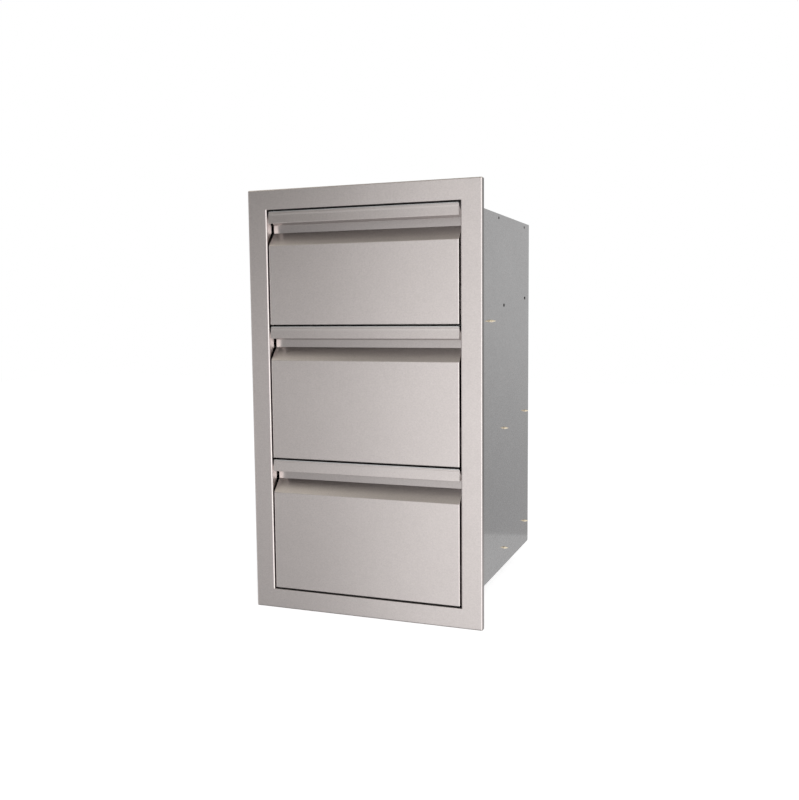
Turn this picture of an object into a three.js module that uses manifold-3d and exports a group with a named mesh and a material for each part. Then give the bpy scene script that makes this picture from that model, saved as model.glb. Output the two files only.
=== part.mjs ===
// Outdoor kitchen drawer unit: a stainless steel box of three stacked drawers behind a flush trim frame.
// Millimetres. +X is to the user's right, -Y faces the user and +Z is up.
// The origin is the middle of the box's underside.

import * as THREE from 'three';
import { mergeVertices } from 'three/addons/utils/BufferGeometryUtils.js';
import Module from 'manifold-3d';

const wasm = await Module();
wasm.setup();

// Trim frame
const trimWidth = 432;
const trimHeight = 757;
const trimSheet = 1.2;
const stileWidth = 35.5;
const railWidth = 35;
const outerReturnDepth = 10;
const innerReturnDepth = 25;

// Box behind the trim
const boxSheet = 1;
const boxSetback = 3;
const boxFlange = 15;
const flangeClearance = 1;

// Drawer fronts
const frontSheet = 1.2;
const frontDepth = 26;
const frontSideGap = 4.5;
const frontGap = 3.4;
const topFrontHeight = 199.6;
const linerSheet = 1;
const linerClearance = 0.3;

// Finger pull, the same in each front
const lipHeight = 21;
const lipFoldAngle = Math.PI / 4;
const lipHemHeight = 9;
const pullDepth = 21.5;
const pullRecessDrop = 37;
const pullMouthDrop = 59.5;

// Trays
const traySheet = 1;
const trayRearInset = 9;
const trayLift = 12;
const trayTopDrop = 40;
const trayRim = 8;

// Ball slides
const slideLength = 457;
const slideHeight = 45.5;
const slideThickness = 12.7;
const slideSheet = 1.2;
const slideSetback = 2;
const slideRearClearance = 2;
const slideRise = 39.8;
const drawerTravel = 450;
const outerFlangeDepth = 9.8;
const tipClearance = 1.3;
const raceLip = 2.2;
const raceClearance = 0.4;
const intermediateFrontInset = 3;
const intermediateRearInset = 4;

// Ball cages
const ballDiameter = 3.6;
const ballPlay = 0.1;
const cageSheet = 0.7;
const cageClearance = 0.3;
const cagePlay = 0.7;
const cageMargin = 8.5;
const cageBallInset = 8;
const cageBallCount = 3;

// Rear bumpers of the slides
const bumperHeight = 20;
const bumperClearance = 0.3;

// Screws that hold the slides to the box, given from the slide's rear end and middle line
const screwRadius = 2;
const screwHeadRadius = 3.8;
const screwHeadHeight = 0.7;
const screwProtrusion = 8;
const screwTip = 1;
const screwHoleClearance = 0.35;
const rearScrewInset = 16;
const middleScrewInset = 195;
const screwOffset = 7.75;

// Cross stay under the top drawer
const stayWidth = 30;
const stayFlange = 10;
const stayTab = 15;
const staySetback = 157;
const stayDrop = 5;

// Facets of round pieces
const screwSegments = 12;
const ballSegments = 8;
const ballRings = 6;

// Lengthens a cutting tool past the face that it cuts
const overrun = 1;

// Sizes that follow from the driving ones
const openingWidth = trimWidth - 2 * stileWidth;
const openingHeight = trimHeight - 2 * railWidth;
const boxDepth = frontDepth - boxSetback + slideSetback + slideLength + slideRearClearance + boxFlange;
const boxFrontY = -boxDepth / 2;
const boxRearY = boxDepth / 2;
const faceY = boxFrontY - boxSetback;
const wallX = openingWidth / 2 - boxSheet;
const frontWidth = openingWidth - 2 * frontSideGap;
const frontRearY = faceY + frontDepth;
const trayHalfWidth = wallX - slideThickness;
const trayDepth = slideSetback + slideLength - trayRearInset;
const slideFrontY = frontRearY + slideSetback;
const slideRearY = slideFrontY + slideLength;

// Heights in a slide, from its middle line, and depths from the box's wall towards the tray
const outerHalfHeight = slideHeight / 2;
const rowPitch = slideSheet + ballDiameter + ballPlay;
const intermediateHalfHeight = outerHalfHeight - rowPitch;
const innerHalfHeight = intermediateHalfHeight - rowPitch;
const outerCageDepth = slideSheet + screwHeadHeight + cageClearance;
const intermediateDepth = outerCageDepth + cageSheet + cagePlay;
const innerCageDepth = intermediateDepth + slideSheet + cageClearance;
const innerFlangeDepth = innerCageDepth + cageSheet + cagePlay;
const intermediateFlangeDepth = slideThickness - tipClearance;
const ballSeat = slideSheet + raceClearance + ballDiameter / 2;
const outerBallDepth = outerFlangeDepth - ballSeat;
const innerBallDepth = intermediateFlangeDepth - ballSeat;

// An intermediate member moves half as far as its drawer, and the cages a quarter and three quarters as far.
// So a cage starts a quarter of the travel behind the slide's front end.
const cageFrontY = slideFrontY + drawerTravel / 4 + cageMargin;
const cageLength = slideLength - drawerTravel / 2 - 2 * cageMargin;

// Drawers from the top down, each with the bottom edge of its front
const lowerNames = ['middle', 'bottom'];
const gapsHeight = (lowerNames.length + 2) * frontGap;
const lowerFrontHeight = (openingHeight - topFrontHeight - gapsHeight) / lowerNames.length;
const lowerDrawers = lowerNames.map((name, i) => ({
  name,
  height: lowerFrontHeight,
  bottom: frontGap + (lowerNames.length - 1 - i) * (lowerFrontHeight + frontGap),
}));
const topDrawer = {
  name: 'top',
  height: topFrontHeight,
  bottom: openingHeight - frontGap - topFrontHeight,
};
const drawers = [topDrawer, ...lowerDrawers];
const sides = [
  { name: 'left', sign: -1 },
  { name: 'right', sign: 1 },
];

// The screws of the lower drawers' slides are long ones that pass right through the wall.
const screwPlaces = [
  { name: 'middle', y: slideRearY - middleScrewInset, rise: -screwOffset },
  { name: 'rear', y: slideRearY - rearScrewInset, rise: screwOffset },
];

// Finishes
function finish(color, roughness, metalness) {
  return new THREE.MeshStandardMaterial({ color, roughness, metalness });
}
const finishes = {
  brushed: () => finish(0xb4aeac, 0.38, 1),
  polished: () => finish(0xa2a0a1, 0.22, 1),
  plain: () => finish(0xaeacaa, 0.42, 1),
  zinc: () => finish(0xc3c6c9, 0.35, 1),
  cage: () => finish(0x8f9296, 0.45, 1),
  yellow: () => finish(0xc9a24a, 0.35, 1),
  nylon: () => finish(0x2a2b2d, 0.7, 0),
};

function lowFirst(a, b) {
  return a - b;
}

// Turns a closed geometry into a solid that can be joined and cut.
function solidOf(geometry) {
  geometry.deleteAttribute('normal');
  geometry.deleteAttribute('uv');
  const merged = mergeVertices(geometry);
  return new wasm.Manifold(new wasm.Mesh({
    numProp: 3,
    vertProperties: new Float32Array(merged.attributes.position.array),
    triVerts: new Uint32Array(merged.index.array),
  }));
}

function geometryOf(solid) {
  const mesh = solid.getMesh();
  const geometry = new THREE.BufferGeometry();
  geometry.setAttribute('position', new THREE.BufferAttribute(mesh.vertProperties, 3));
  geometry.setIndex(new THREE.BufferAttribute(mesh.triVerts, 1));
  geometry.computeVertexNormals();
  return geometry;
}

function joined(solids) {
  return solids.reduce((whole, solid) => whole.add(solid));
}

// A box from its low and high corners
function block([x0, y0, z0], [x1, y1, z1]) {
  const geometry = new THREE.BoxGeometry(x1 - x0, y1 - y0, z1 - z0);
  geometry.translate((x0 + x1) / 2, (y0 + y1) / 2, (z0 + z1) / 2);
  return solidOf(geometry);
}

function shapeOf(outline) {
  return new THREE.Shape(outline.map(([a, b]) => new THREE.Vector2(a, b)));
}

// A prism along X from an outline of [y, z] points
function prismAlongX(outline, x0, x1) {
  const geometry = new THREE.ExtrudeGeometry(shapeOf(outline), { depth: x1 - x0, bevelEnabled: false });
  const axes = new THREE.Matrix4().makeBasis(
    new THREE.Vector3(0, 1, 0),
    new THREE.Vector3(0, 0, 1),
    new THREE.Vector3(1, 0, 0),
  );
  geometry.applyMatrix4(axes);
  geometry.translate(x0, 0, 0);
  return solidOf(geometry);
}

// A prism along Y from an outline of [x, z] points
function prismAlongY(outline, y0, y1) {
  const geometry = new THREE.ExtrudeGeometry(shapeOf(outline), { depth: y1 - y0, bevelEnabled: false });
  const axes = new THREE.Matrix4().makeBasis(
    new THREE.Vector3(1, 0, 0),
    new THREE.Vector3(0, 0, 1),
    new THREE.Vector3(0, -1, 0),
  );
  geometry.applyMatrix4(axes);
  geometry.translate(0, y1, 0);
  return solidOf(geometry);
}

// A round tool along X, for cutting holes
function drillAlongX(radius, x0, x1, y, z) {
  const geometry = new THREE.CylinderGeometry(radius, radius, x1 - x0, screwSegments);
  geometry.rotateZ(Math.PI / 2);
  geometry.translate((x0 + x1) / 2, y, z);
  return solidOf(geometry);
}

// The closed outline of a folded sheet: a path along one of its faces, and that path offset to its left
function foldedSheet(path, sheet) {
  const points = path.map(([a, b]) => new THREE.Vector2(a, b));
  const normals = points.slice(1).map((point, i) => {
    const along = point.clone().sub(points[i]).normalize();
    return new THREE.Vector2(-along.y, along.x);
  });
  const offset = points.map((point, i) => {
    const before = normals[Math.max(i - 1, 0)];
    const after = normals[Math.min(i, normals.length - 1)];
    const mitre = before.clone().add(after).normalize();
    const corner = point.clone().addScaledVector(mitre, sheet / mitre.dot(before));
    return [corner.x, corner.y];
  });
  return [...path, ...offset.reverse()];
}

const unit = new THREE.Group();

function addPiece(name, solid, material, place = [0, 0, 0]) {
  const mesh = new THREE.Mesh(geometryOf(solid), material());
  mesh.name = name;
  mesh.position.set(...place);
  unit.add(mesh);
}

// Trim frame: a flat face with a shallow return round its outside and a deeper one round its opening.
// Its own zero is the middle of the face plane, at the bottom of the opening.
function faceFrame() {
  const halfTrim = trimWidth / 2;
  const halfOpening = openingWidth / 2;
  const low = -railWidth;
  const high = openingHeight + railWidth;
  const opening = block(
    [-halfOpening, -overrun, 0],
    [halfOpening, innerReturnDepth + overrun, openingHeight],
  );
  const face = block([-halfTrim, 0, low], [halfTrim, trimSheet, high]);
  const outerReturn = block([-halfTrim, 0, low], [halfTrim, outerReturnDepth, high]).subtract(
    block(
      [-halfTrim + trimSheet, -overrun, low + trimSheet],
      [halfTrim - trimSheet, outerReturnDepth + overrun, high - trimSheet],
    ),
  );
  const innerReturn = block(
    [-halfOpening - trimSheet, 0, -trimSheet],
    [halfOpening + trimSheet, innerReturnDepth, openingHeight + trimSheet],
  );
  return joined([face, outerReturn, innerReturn]).subtract(opening);
}
addPiece('face_frame', faceFrame(), finishes.brushed, [0, faceY, 0]);

// Side panel, a plain sheet with a hole for each long slide screw
function sidePanel(sign) {
  const [low, high] = [sign * wallX, sign * (wallX + boxSheet)].sort(lowFirst);
  let panel = block([low, 0, 0], [high, boxDepth, openingHeight]);
  for (const drawer of lowerDrawers) {
    for (const screw of screwPlaces) {
      const z = drawer.bottom + slideRise + screw.rise;
      const radius = screwRadius + screwHoleClearance;
      panel = panel.subtract(drillAlongX(radius, low - overrun, high + overrun, screw.y - boxFrontY, z));
    }
  }
  return panel;
}
for (const side of sides) {
  addPiece(`side_panel_${side.name}`, sidePanel(side.sign), finishes.polished, [0, boxFrontY, 0]);
}

// Bottom and top panels: sheets between the side panels, each with two flanges against them.
// The sheet lies on zero, and the flanges go towards the box's middle.
function endPanel(towards) {
  const sheetZ = [0, towards * boxSheet].sort(lowFirst);
  const flangeZ = [0, towards * boxFlange].sort(lowFirst);
  const sheet = block([-wallX, 0, sheetZ[0]], [wallX, boxDepth, sheetZ[1]]);
  const flanges = sides.map(({ sign }) => {
    const edges = [sign * wallX, sign * (wallX - boxSheet)].sort(lowFirst);
    return block([edges[0], innerReturnDepth, flangeZ[0]], [edges[1], boxDepth - boxSheet, flangeZ[1]]);
  });
  return joined([sheet, ...flanges]);
}
addPiece('bottom_panel', endPanel(1), finishes.plain, [0, boxFrontY, 0]);
addPiece('top_panel', endPanel(-1), finishes.polished, [0, boxFrontY, openingHeight]);

// Back panel: a sheet between the other four panels, with two flanges forward against the sides
function backPanel() {
  const sheet = block([-wallX, -boxSheet, boxSheet], [wallX, 0, openingHeight - boxSheet]);
  const low = boxFlange + flangeClearance;
  const high = openingHeight - low;
  const flanges = sides.map(({ sign }) => {
    const edges = [sign * wallX, sign * (wallX - boxSheet)].sort(lowFirst);
    return block([edges[0], -boxFlange, low], [edges[1], 0, high]);
  });
  return joined([sheet, ...flanges]);
}
addPiece('back_panel', backPanel(), finishes.plain, [0, boxRearY, 0]);

// Cross stay: a channel that opens downwards, with a tab up against each wall.
// Its zero is the middle of its front edge, on its upper face.
function crossStay() {
  const top = block([-wallX, 0, -trimSheet], [wallX, stayWidth, 0]);
  const web = [0, stayWidth - trimSheet].map((y) => (
    block([-wallX, y, -stayFlange], [wallX, y + trimSheet, 0])
  ));
  const tabs = sides.map(({ sign }) => {
    const edges = [sign * wallX, sign * (wallX - trimSheet)].sort(lowFirst);
    return block([edges[0], 0, -trimSheet], [edges[1], stayWidth, stayTab]);
  });
  return joined([top, ...web, ...tabs]);
}
addPiece('cross_stay', crossStay(), finishes.plain,
  [0, frontRearY + staySetback - stayWidth / 2, topDrawer.bottom - stayDrop]);

// Front skin: one folded sheet, in the drawer's own frame.
// Its zero is the middle of the face plane at the front's bottom edge.
function pullFolds(height) {
  const foldDrop = frontSheet / Math.tan(lipFoldAngle / 2);
  const slopeRun = pullDepth - frontSheet;
  const slopeDrop = foldDrop + slopeRun / Math.tan(lipFoldAngle);
  return {
    lipBottom: [frontSheet, height - lipHeight],
    lipTop: [frontSheet, height - foldDrop],
    recessTop: [pullDepth, height - slopeDrop],
    recessBottom: [pullDepth, height - pullRecessDrop],
    faceTop: [0, height - pullMouthDrop],
  };
}

function frontSkin(height) {
  const half = frontWidth / 2;
  const folds = pullFolds(height);
  const skin = prismAlongX(foldedSheet([
    folds.lipBottom,
    folds.lipTop,
    folds.recessTop,
    folds.recessBottom,
    folds.faceTop,
    [0, 0],
    [frontDepth, 0],
  ], frontSheet), -half, half);
  const hem = block(
    [-half, 0, height - lipHeight],
    [half, 2 * frontSheet, height - lipHeight + lipHemHeight],
  );
  const end = [
    [0, 0],
    folds.faceTop,
    folds.recessBottom,
    folds.recessTop,
    folds.lipTop,
    [frontSheet, height],
    [frontDepth, height],
    [frontDepth, 0],
  ];
  return joined([
    skin,
    hem,
    prismAlongX(end, -half, -half + frontSheet),
    prismAlongX(end, half - frontSheet, half),
  ]);
}

// Liner: the sheet that closes the front's back, with a flange forward over its top
function frontLiner(height) {
  const half = frontWidth / 2 - frontSheet;
  const topFlangeStart = linerSheet + linerClearance * Math.SQRT2;
  const back = block([-half, frontDepth - linerSheet, frontSheet], [half, frontDepth, height]);
  const top = block([-half, topFlangeStart, height - linerSheet], [half, frontDepth, height]);
  return back.add(top);
}

// Tray: an open box with its rim turned in along both sides and the back
function tray(height) {
  const half = trayHalfWidth;
  const body = block([-half, 0, 0], [half, trayDepth, height]);
  const hollow = block(
    [-half + traySheet, traySheet, traySheet],
    [half - traySheet, trayDepth - traySheet, height - traySheet],
  );
  const mouth = block(
    [-half + trayRim, traySheet, height - 2 * traySheet],
    [half - trayRim, trayDepth - trayRim, height + overrun],
  );
  return body.subtract(hollow).subtract(mouth);
}

// The outline of a channel in a slide, as [depth from the wall, height from the middle line]
function channelOutline(webDepth, flangeDepth, halfHeight, lip, sheet) {
  const opensInward = flangeDepth > webDepth;
  const order = opensInward ? 1 : -1;
  const path = [
    [flangeDepth, order * halfHeight],
    [webDepth, order * halfHeight],
    [webDepth, -order * halfHeight],
    [flangeDepth, -order * halfHeight],
  ];
  if (lip > 0) {
    path.unshift([flangeDepth, order * (halfHeight - lip)]);
    path.push([flangeDepth, -order * (halfHeight - lip)]);
  }
  return foldedSheet(path, sheet);
}

// A slide piece along Y, on the wall of one side, with its zero on the slide's middle line
function slideProfile(sign, outline, length) {
  return prismAlongY(outline.map(([depth, z]) => [sign * (wallX - depth), z]), 0, length);
}

function outerMember(sign, screws) {
  const outline = channelOutline(0, outerFlangeDepth, outerHalfHeight, raceLip, slideSheet);
  let member = slideProfile(sign, outline, slideLength);
  const edges = [sign * (wallX - slideSheet - overrun), sign * (wallX + overrun)].sort(lowFirst);
  for (const screw of screws) {
    const radius = screwRadius + screwHoleClearance;
    member = member.subtract(drillAlongX(radius, edges[0], edges[1], screw.y - slideFrontY, screw.rise));
  }
  return member;
}

function intermediateMember(sign) {
  const outline = channelOutline(
    intermediateDepth,
    intermediateFlangeDepth,
    intermediateHalfHeight,
    raceLip,
    slideSheet,
  );
  return slideProfile(sign, outline, slideLength - intermediateFrontInset - intermediateRearInset);
}

function innerMember(sign) {
  const outline = channelOutline(slideThickness, innerFlangeDepth, innerHalfHeight, 0, slideSheet);
  return slideProfile(sign, outline, slideLength);
}

// Cage: a thin channel with a row of balls through each flange
function ballCage(sign, webDepth, ballDepth, rowHeight) {
  const radius = ballDiameter / 2;
  const outline = channelOutline(webDepth, ballDepth + radius, rowHeight + cageSheet / 2, 0, cageSheet);
  const channel = slideProfile(sign, outline, cageLength);
  const ballStep = (cageLength - 2 * cageBallInset) / (cageBallCount - 1);
  const balls = [];
  for (const row of [-1, 1]) {
    for (let i = 0; i < cageBallCount; i += 1) {
      const ball = new THREE.SphereGeometry(radius, ballSegments, ballRings);
      ball.rotateX(Math.PI / 2);
      ball.translate(sign * (wallX - ballDepth), cageBallInset + i * ballStep, row * rowHeight);
      balls.push(solidOf(ball));
    }
  }
  return joined([channel, ...balls]);
}

// Bumper: the nylon block behind the intermediate member
function bumper(sign) {
  const thickness = intermediateRearInset - bumperClearance;
  const edges = [
    sign * (wallX - slideSheet),
    sign * (wallX - innerFlangeDepth + cageClearance),
  ].sort(lowFirst);
  return block([edges[0], -thickness, -bumperHeight / 2], [edges[1], 0, bumperHeight / 2]);
}

// Slide screw: a thin wafer head inside the outer member, with its shank out through the wall
function slideScrew(sign) {
  const reach = slideSheet + boxSheet + screwProtrusion;
  const profile = [
    [0, -screwHeadHeight],
    [screwHeadRadius, -screwHeadHeight],
    [screwHeadRadius, 0],
    [screwRadius, 0],
    [screwRadius, reach - screwTip],
    [screwRadius - screwTip, reach],
    [0, reach],
  ].map(([radius, along]) => new THREE.Vector2(radius, along));
  const geometry = new THREE.LatheGeometry(profile, screwSegments);
  geometry.rotateZ(-sign * Math.PI / 2);
  return solidOf(geometry);
}

for (const drawer of drawers) {
  const slideZ = drawer.bottom + slideRise;
  const trayHeight = drawer.height - trayLift - trayTopDrop;
  const longScrews = lowerDrawers.includes(drawer) ? screwPlaces : [];
  const outerRow = (outerHalfHeight - slideSheet + intermediateHalfHeight) / 2;
  const innerRow = (intermediateHalfHeight - slideSheet + innerHalfHeight) / 2;
  addPiece(`drawer_front_${drawer.name}`, frontSkin(drawer.height), finishes.brushed,
    [0, faceY, drawer.bottom]);
  addPiece(`drawer_liner_${drawer.name}`, frontLiner(drawer.height), finishes.plain,
    [0, faceY, drawer.bottom]);
  addPiece(`drawer_tray_${drawer.name}`, tray(trayHeight), finishes.plain,
    [0, frontRearY, drawer.bottom + trayLift]);
  for (const { name, sign } of sides) {
    const label = `${name}_${drawer.name}`;
    addPiece(`slide_outer_${label}`, outerMember(sign, longScrews), finishes.zinc,
      [0, slideFrontY, slideZ]);
    addPiece(`slide_intermediate_${label}`, intermediateMember(sign), finishes.zinc,
      [0, slideFrontY + intermediateFrontInset, slideZ]);
    addPiece(`slide_inner_${label}`, innerMember(sign), finishes.zinc, [0, slideFrontY, slideZ]);
    addPiece(`cage_outer_${label}`, ballCage(sign, outerCageDepth, outerBallDepth, outerRow),
      finishes.cage, [0, cageFrontY, slideZ]);
    addPiece(`cage_inner_${label}`, ballCage(sign, innerCageDepth, innerBallDepth, innerRow),
      finishes.cage, [0, cageFrontY, slideZ]);
    addPiece(`slide_bumper_${label}`, bumper(sign), finishes.nylon, [0, slideRearY, slideZ]);
    for (const screw of longScrews) {
      addPiece(`slide_screw_${label}_${screw.name}`, slideScrew(sign), finishes.yellow,
        [sign * (wallX - slideSheet), screw.y, slideZ + screw.rise]);
    }
  }
}

export default unit;
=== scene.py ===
import math

import bmesh
import bpy
from mathutils import Matrix, Vector

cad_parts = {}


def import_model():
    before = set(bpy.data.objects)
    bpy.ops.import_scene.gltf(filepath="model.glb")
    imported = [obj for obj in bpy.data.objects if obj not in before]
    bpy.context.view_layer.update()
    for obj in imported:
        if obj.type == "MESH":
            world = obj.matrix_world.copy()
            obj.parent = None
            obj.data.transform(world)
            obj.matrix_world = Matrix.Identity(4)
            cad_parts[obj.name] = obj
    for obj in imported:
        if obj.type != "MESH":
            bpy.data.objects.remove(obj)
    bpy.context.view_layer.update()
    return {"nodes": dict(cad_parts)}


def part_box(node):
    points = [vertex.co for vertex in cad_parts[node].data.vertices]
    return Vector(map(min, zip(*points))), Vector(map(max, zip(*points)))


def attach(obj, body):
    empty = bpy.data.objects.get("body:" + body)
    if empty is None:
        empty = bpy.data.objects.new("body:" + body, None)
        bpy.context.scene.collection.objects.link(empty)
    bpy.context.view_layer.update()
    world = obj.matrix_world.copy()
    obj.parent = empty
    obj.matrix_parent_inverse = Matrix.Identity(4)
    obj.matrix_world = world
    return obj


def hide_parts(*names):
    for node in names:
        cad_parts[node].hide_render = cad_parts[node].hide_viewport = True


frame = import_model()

# Outdoor kitchen drawer unit: stainless steel box with three drawers behind a flush trim frame.
# Metres, in the CAD frame: +X to the user's right, -Y faces the user, +Z up.

MM = 0.001

# Sheets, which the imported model's boxes don't give
TRIM_SHEET = 1.2 * MM
FRONT_SHEET = 1.2 * MM
LINER_SHEET = 1.2 * MM
TRAY_SHEET = 1.0 * MM
SLIDE_SHEET = 1.2 * MM
CAGE_SHEET = 0.7 * MM

# Finger pull, from each front's top edge
LIP_HEIGHT = 21 * MM
LIP_HEM = 9 * MM
LIP_LEAN = 1.8 * MM
LIP_FOLD_ANGLE = math.pi / 4
PULL_DEPTH = 21.5 * MM
RECESS_DROP = 37 * MM
MOUTH_DROP = 60.0 * MM

# Arcs are cut into steps of about this angle.
ARC_STEP = math.radians(15)

SIDES = {"left": -1, "right": 1}
DRAWERS = ("top", "middle", "bottom")

trim_low, trim_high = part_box("face_frame")
wall_low, wall_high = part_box("side_panel_right")
FACE_Y = trim_low.y
TRIM_HALF = trim_high.x
# The trim's opening is as wide and high as the box outside, and the slides hang on the box's inside.
OPENING_HALF = wall_high.x
OPENING_LOW = wall_low.z
OPENING_HIGH = wall_high.z
WALL = wall_low.x


# Outlines

def rounded_path(corners, closed=False):
    """Points along a path of (a, b, radius) corners, each with the path's left normal there."""
    count = len(corners)
    spots = [Vector(corner[:2]) for corner in corners]
    samples = []
    for i, here in enumerate(spots):
        if not closed and i in (0, count - 1):
            ends = (spots[0], spots[1]) if i == 0 else (spots[-2], spots[-1])
            along = (ends[1] - ends[0]).normalized()
            samples.append((here, Vector((-along.y, along.x))))
            continue
        before = (here - spots[i - 1]).normalized()
        after = (spots[(i + 1) % count] - here).normalized()
        turn = math.atan2(before.cross(after), before.dot(after))
        radius = corners[i][2] if len(corners[i]) > 2 else 0
        steps = max(1, round(abs(turn) / ARC_STEP))
        start = here - before * radius * math.tan(abs(turn) / 2)
        side = Vector((-before.y, before.x)) * math.copysign(1, turn)
        centre = start + side * radius
        for k in range(steps + 1):
            spin = Matrix.Rotation(turn * k / steps, 2)
            spot = centre + spin @ (start - centre)
            along = spin @ before
            samples.append((spot, Vector((-along.y, along.x))))
    return samples


def sheet_outline(corners, sheet):
    """The closed outline of a folded sheet whose shown face is the path and whose back lies to its left."""
    samples = rounded_path(corners)
    face = [point for point, _ in samples]
    back = [point + normal * sheet for point, normal in samples]
    return face + back[::-1]


def outline_of(corners):
    return [point for point, _ in rounded_path(corners, closed=True)]


# Meshes

def lay_grain(mesh):
    """A UV map in metres whose U runs along X, or along Y on faces that look along X."""
    layer = mesh.uv_layers.new(name="grain")
    for face in mesh.polygons:
        along_x = abs(face.normal.x) < 0.9
        upright = abs(face.normal.z) < 0.75
        for corner in face.loop_indices:
            spot = mesh.vertices[mesh.loops[corner].vertex_index].co
            u = spot.x if along_x else spot.y
            v = spot.z if upright or not along_x else spot.y
            layer.data[corner].uv = (u, v)


def new_piece(name, vertices, faces, sharp=30):
    mesh = bpy.data.meshes.new(name)
    mesh.from_pydata([tuple(v) for v in vertices], [], faces)
    tidy = bmesh.new()
    tidy.from_mesh(mesh)
    bmesh.ops.remove_doubles(tidy, verts=tidy.verts, dist=1e-7)
    bmesh.ops.recalc_face_normals(tidy, faces=tidy.faces)
    tidy.to_mesh(mesh)
    tidy.free()
    mesh.shade_smooth()
    mesh.set_sharp_from_angle(angle=math.radians(sharp))
    lay_grain(mesh)
    piece = bpy.data.objects.new(name, mesh)
    bpy.context.scene.collection.objects.link(piece)
    even = piece.modifiers.new("even", "WEIGHTED_NORMAL")
    even.keep_sharp = True
    return piece


def loft(rings, capped=True):
    """Vertices and faces through closed rings that have as many points each."""
    count = len(rings[0])
    vertices = [point for ring in rings for point in ring]
    faces = []
    for i in range(len(rings) - 1):
        for j in range(count):
            a = i * count + j
            b = i * count + (j + 1) % count
            faces.append((a, b, b + count, a + count))
    if capped:
        faces.append(tuple(range(count)))
        faces.append(tuple(range(len(vertices) - count, len(vertices))))
    return vertices, faces


def closed_loft(rings):
    """A loft whose last ring joins its first, such as a folded sheet that runs round a rectangle."""
    return loft(rings + rings[:1], capped=False)


def merge(parts):
    """Several (vertices, faces) as one."""
    vertices = []
    faces = []
    for part_vertices, part_faces in parts:
        base = len(vertices)
        vertices.extend(part_vertices)
        faces.extend(tuple(base + i for i in face) for face in part_faces)
    return vertices, faces


def rectangle_ring(x0, x1, z0, z1, radius, place, steps=6):
    """Points round a rectangle with rounded corners; place turns (x, z) into a point."""
    ring = []
    centres = (
        (x1 - radius, z1 - radius, 0),
        (x0 + radius, z1 - radius, 1),
        (x0 + radius, z0 + radius, 2),
        (x1 - radius, z0 + radius, 3),
    )
    for cx, cz, quarter in centres:
        for k in range(steps + 1):
            angle = (quarter + k / steps) * math.pi / 2
            ring.append(place(cx + radius * math.cos(angle), cz + radius * math.sin(angle)))
    return ring


def box_part(low, high):
    ring = [(low[0], low[1]), (high[0], low[1]), (high[0], high[1]), (low[0], high[1])]
    return loft([[Vector((x, y, z)) for x, y in ring] for z in (low[2], high[2])])


def dress(piece, body, slot_name, material, *nodes):
    piece.data.materials.clear()
    piece.data.materials.append(material)
    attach(piece, body)
    if nodes:
        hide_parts(*nodes)


# Shader nodes

def feed(tree, socket, value):
    """Sets a socket to a number, or links another node's output to it."""
    if isinstance(value, (int, float)):
        socket.default_value = value
    else:
        tree.links.new(value, socket)


def calculate(tree, operation, first, second=0):
    node = tree.nodes.new("ShaderNodeMath")
    node.operation = operation
    feed(tree, node.inputs[0], first)
    feed(tree, node.inputs[1], second)
    return node.outputs[0]


def remap(tree, value, start, end, low=0, high=1, smooth=False):
    """low where the value is start, high where it is end, and between them in between."""
    span = tree.nodes.new("ShaderNodeMapRange")
    if smooth:
        span.interpolation_type = "SMOOTHSTEP"
    feed(tree, span.inputs["Value"], value)
    feed(tree, span.inputs["From Min"], start)
    feed(tree, span.inputs["From Max"], end)
    feed(tree, span.inputs["To Min"], low)
    feed(tree, span.inputs["To Max"], high)
    return span.outputs["Result"]


def component(tree, axis, socket):
    split = tree.nodes.new("ShaderNodeSeparateXYZ")
    tree.links.new(socket, split.inputs[0])
    return split.outputs[axis]


def own_place(tree):
    return tree.nodes.new("ShaderNodeTexCoord").outputs["Object"]


def facing(tree):
    return tree.nodes.new("ShaderNodeNewGeometry").outputs["Normal"]


def bumps(tree, height, strength, distance, normal=None):
    bump = tree.nodes.new("ShaderNodeBump")
    bump.inputs["Strength"].default_value = strength
    bump.inputs["Distance"].default_value = distance
    tree.links.new(height, bump.inputs["Height"])
    if normal:
        tree.links.new(normal, bump.inputs["Normal"])
    return bump.outputs["Normal"]


def shader_of(name):
    """A new material, with its node tree and its shader."""
    material = bpy.data.materials.new(name)
    material.use_nodes = True
    tree = material.node_tree
    return material, tree, tree.nodes["Principled BSDF"]


# Materials

MOTTLE_SCALE = (430, 430, 520)
CLOUD_SCALE = (14, 14, 14)
SPECKLE_SCALE = (560, 560, 620)
GRAIN_RELIEF = 0.02 * MM
# Nearly all values of a noise texture lie in this range.
NOISE_RANGE = (0.25, 0.75)


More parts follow.
